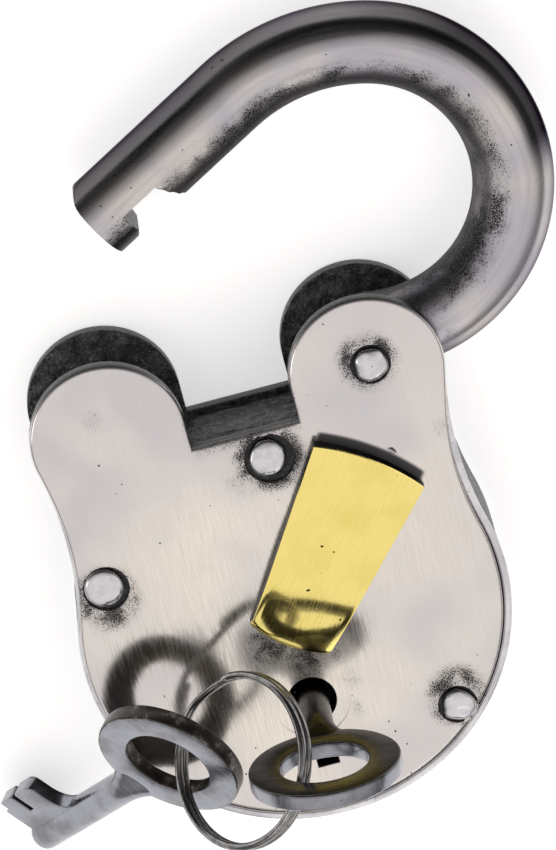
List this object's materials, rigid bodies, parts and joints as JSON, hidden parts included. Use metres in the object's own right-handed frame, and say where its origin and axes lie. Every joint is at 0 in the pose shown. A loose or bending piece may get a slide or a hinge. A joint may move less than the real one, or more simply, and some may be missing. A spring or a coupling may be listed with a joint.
{
  "type": "padlock",
  "caption": "Old-style riveted padlock with swinging round shackle, brass keyhole cover, key in the lock and a spare key on a split ring.",
  "frame": {"origin": "centre of the round belly, on the back face that the padlock lies on", "axes": "+X to the case's right as seen from the front, +Y from the belly toward the shackle, +Z out of the front plate"},
  "size_m": [0.1369, 0.1564, 0.0722],
  "materials": {
    "plate_steel": "polished steel sheet with fine brush lines, black pits round the rivets",
    "cast_black": "rough black casting, its outer lip ground bright",
    "rivet_steel": "bright hammered domes",
    "shackle_steel": "dark polished bar with a faint purple tint and pits on its inner side",
    "inner_steel": "plain machined steel, lightly oiled",
    "spring_steel": "blued spring strip",
    "brass": "polished yellow brass with a few black pits",
    "key_steel": "grey satin steel with darker worn edges",
    "ring_steel": "dark polished wire"
  },
  "bodies": {
    "case": {"back_plate": "plate_steel", "case_wall": "cast_black", "notch_block": "cast_black", "front_plate": "plate_steel", "left_rivet": "rivet_steel", "top_rivet": "rivet_steel", "lower_rivet": "rivet_steel", "shackle_pin": "rivet_steel", "heel_washer_back": "inner_steel", "heel_washer_front": "inner_steel", "pawl_post": "inner_steel", "pawl_collar_back": "inner_steel", "pawl_collar_front": "inner_steel", "pawl_spring": "spring_steel", "spring_stud": "inner_steel", "ward": "inner_steel", "key_seat": "inner_steel"},
    "shackle": {"shackle": "shackle_steel"},
    "pawl": {"locking_pawl": "inner_steel"},
    "cover": {"brass_cover": "brass", "cover_stud": "brass", "cover_washer": "inner_steel"},
    "key_1": {"key_1_stem": "key_steel", "key_1_bow": "key_steel"},
    "ring": {"split_ring": "ring_steel"},
    "key_2": {"key_2_stem": "key_steel", "key_2_bow": "key_steel"}
  },
  "joints": [
    {"name": "shackle_swing", "type": "hinge", "parent": "case", "child": "shackle", "pos_m": [0.0264, 0.047, 0.0125], "axis": [0, 0, 1], "range_deg": [0, 61]},
    {"name": "key_turn", "type": "hinge", "parent": "case", "child": "key_1", "pos_m": [-0.001, -0.017, 0.025], "axis": [0, 0, 1], "range_deg": [0, 90]},
    {"name": "pawl_swing", "type": "hinge", "parent": "case", "child": "pawl", "pos_m": [-0.024, 0.004, 0.0125], "axis": [0, 0, 1], "range_deg": [0, 9]},
    {"name": "cover_swing", "type": "hinge", "parent": "case", "child": "cover", "pos_m": [0.00219, 0.00291, 0.0269], "axis": [0, 0, 1], "range_deg": [-100, 0]},
    {"name": "ring_lift", "type": "hinge", "parent": "key_1", "child": "ring", "pos_m": [-0.01159, -0.01606, 0.05331], "axis": [-0.3808, 0.034, 0.924], "range_deg": [0, 12]},
    {"name": "key_2_lift", "type": "hinge", "parent": "ring", "child": "key_2", "pos_m": [-0.02839, -0.01898, 0.03806], "axis": [0.1538, 0.8503, -0.5033], "range_deg": [0, 12]}
  ],
  "couplings": [
    {"joint": "pawl_swing", "follows": "key_turn", "ratio": 0.1}
  ]
}
